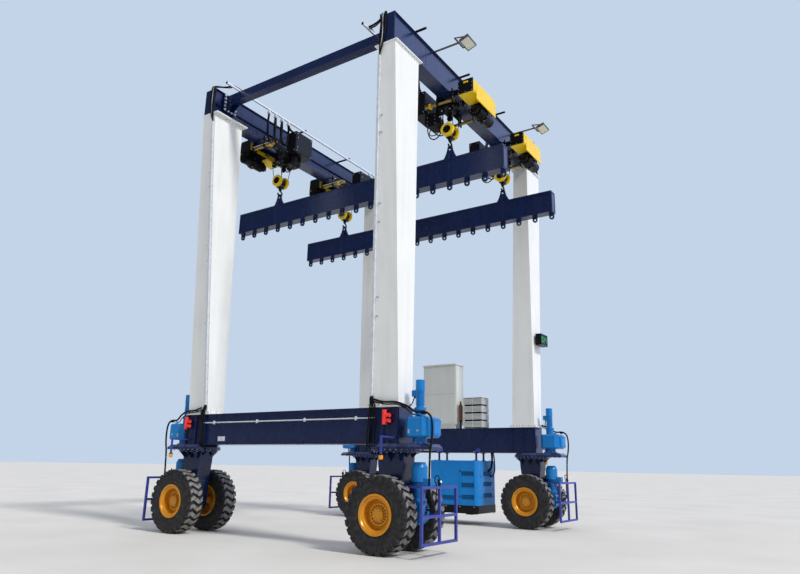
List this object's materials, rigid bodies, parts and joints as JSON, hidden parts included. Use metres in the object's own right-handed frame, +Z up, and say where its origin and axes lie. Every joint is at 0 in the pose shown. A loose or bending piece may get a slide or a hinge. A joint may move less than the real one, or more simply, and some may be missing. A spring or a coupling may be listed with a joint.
{
  "type": "rubber tyred gantry crane",
  "caption": "Rubber tyred gantry crane with two spreader beams hung from trolley hoists on a four-legged portal with steered twin wheels.",
  "frame": {"origin": "on the ground in the middle of the four wheel groups", "axes": "+Z up, X along the travel direction, Y along the main girders"},
  "size_m": [9.42, 9, 12.164],
  "materials": {
    "white_paint": "satin paint",
    "navy_paint": "satin paint",
    "light_blue_paint": "satin paint",
    "generator_blue_paint": "satin paint",
    "black_paint": "satin paint",
    "yellow_paint": "gloss paint",
    "gold_paint": "satin paint",
    "grey_paint": "satin paint",
    "red_plastic": "moulded",
    "amber_plastic": "moulded",
    "black_plastic": "moulded",
    "galvanised": "zinc coated",
    "steel_rope": "greased wire rope",
    "tyre_rubber": "worn rubber"
  },
  "bodies": {
    "frame": {"lower_beams": "navy_paint", "columns": "white_paint", "main_girders": "navy_paint", "tie_beams": "navy_paint", "festoon_tracks": "galvanised", "festoon_bars": "galvanised", "slewing_gearboxes": "light_blue_paint", "slewing_motors": "light_blue_paint", "generator_housing": "generator_blue_paint", "generator_base": "black_paint", "generator_hangers": "navy_paint", "control_cabinet": "grey_paint", "resistor_bank": "grey_paint", "floodlights": "galvanised", "beacons": "amber_plastic", "horns": "red_plastic", "load_display": "black_plastic"},
    "leg_near_left": {"wheel_leg_near_left": "navy_paint", "wheel_drive_near_left": "light_blue_paint"},
    "wheels_near_left": {"axle_and_rims_near_left": "gold_paint", "tyres_near_left": "tyre_rubber"},
    "leg_near_right": {"wheel_leg_near_right": "navy_paint", "wheel_drive_near_right": "light_blue_paint"},
    "wheels_near_right": {"axle_and_rims_near_right": "gold_paint", "tyres_near_right": "tyre_rubber"},
    "leg_far_right": {"wheel_leg_far_right": "navy_paint", "wheel_drive_far_right": "light_blue_paint"},
    "wheels_far_right": {"axle_and_rims_far_right": "gold_paint", "tyres_far_right": "tyre_rubber"},
    "leg_far_left": {"wheel_leg_far_left": "navy_paint", "wheel_drive_far_left": "light_blue_paint"},
    "wheels_far_left": {"axle_and_rims_far_left": "gold_paint", "tyres_far_left": "tyre_rubber"},
    "trolleys_near": {"trolley_frames_near": "yellow_paint", "hoist_covers_near": "yellow_paint", "hoist_machines_near": "black_paint", "hoist_ropes_near": "steel_rope"},
    "spreader_near": {"spreader_beam_near": "navy_paint", "load_lugs_near": "navy_paint", "hook_blocks_near": "yellow_paint"},
    "trolleys_far": {"trolley_frames_far": "yellow_paint", "hoist_covers_far": "yellow_paint", "hoist_machines_far": "black_paint", "hoist_ropes_far": "steel_rope"},
    "spreader_far": {"spreader_beam_far": "navy_paint", "load_lugs_far": "navy_paint", "hook_blocks_far": "yellow_paint"}
  },
  "joints": [
    {"name": "steer_near_left", "type": "hinge", "parent": "frame", "child": "leg_near_left", "pos_m": [-3.07, -3.674, 2], "axis": [0, 0, 1], "range_deg": [-90, 90]},
    {"name": "roll_near_left", "type": "hinge", "parent": "leg_near_left", "child": "wheels_near_left", "pos_m": [-3.07, -3.674, 0.75], "axis": [0, 1, 0], "continuous": true},
    {"name": "steer_near_right", "type": "hinge", "parent": "frame", "child": "leg_near_right", "pos_m": [3.07, -3.674, 2], "axis": [0, 0, 1], "range_deg": [-90, 90]},
    {"name": "roll_near_right", "type": "hinge", "parent": "leg_near_right", "child": "wheels_near_right", "pos_m": [3.07, -3.674, 0.75], "axis": [0, 1, 0], "continuous": true},
    {"name": "steer_far_right", "type": "hinge", "parent": "frame", "child": "leg_far_right", "pos_m": [3.07, 3.674, 2], "axis": [0, 0, 1], "range_deg": [-90, 90]},
    {"name": "roll_far_right", "type": "hinge", "parent": "leg_far_right", "child": "wheels_far_right", "pos_m": [3.07, 3.674, 0.75], "axis": [0, 1, 0], "continuous": true},
    {"name": "steer_far_left", "type": "hinge", "parent": "frame", "child": "leg_far_left", "pos_m": [-3.07, 3.674, 2], "axis": [0, 0, 1], "range_deg": [-90, 90]},
    {"name": "roll_far_left", "type": "hinge", "parent": "leg_far_left", "child": "wheels_far_left", "pos_m": [-3.07, 3.674, 0.75], "axis": [0, 1, 0], "continuous": true},
    {"name": "travel_near", "type": "slide", "parent": "frame", "child": "trolleys_near", "axis": [0, 1, 0], "range_m": [-0.75, 0.55]},
    {"name": "hoist_near", "type": "slide", "parent": "trolleys_near", "child": "spreader_near", "axis": [0, 0, 1], "range_m": [-8.3, 0.25], "deforming": ["hoist_ropes_near"]},
    {"name": "travel_far", "type": "slide", "parent": "frame", "child": "trolleys_far", "axis": [0, 1, 0], "range_m": [-0.55, 0.2]},
    {"name": "hoist_far", "type": "slide", "parent": "trolleys_far", "child": "spreader_far", "axis": [0, 0, 1], "range_m": [-8.3, 0.25], "deforming": ["hoist_ropes_far"]}
  ]
}
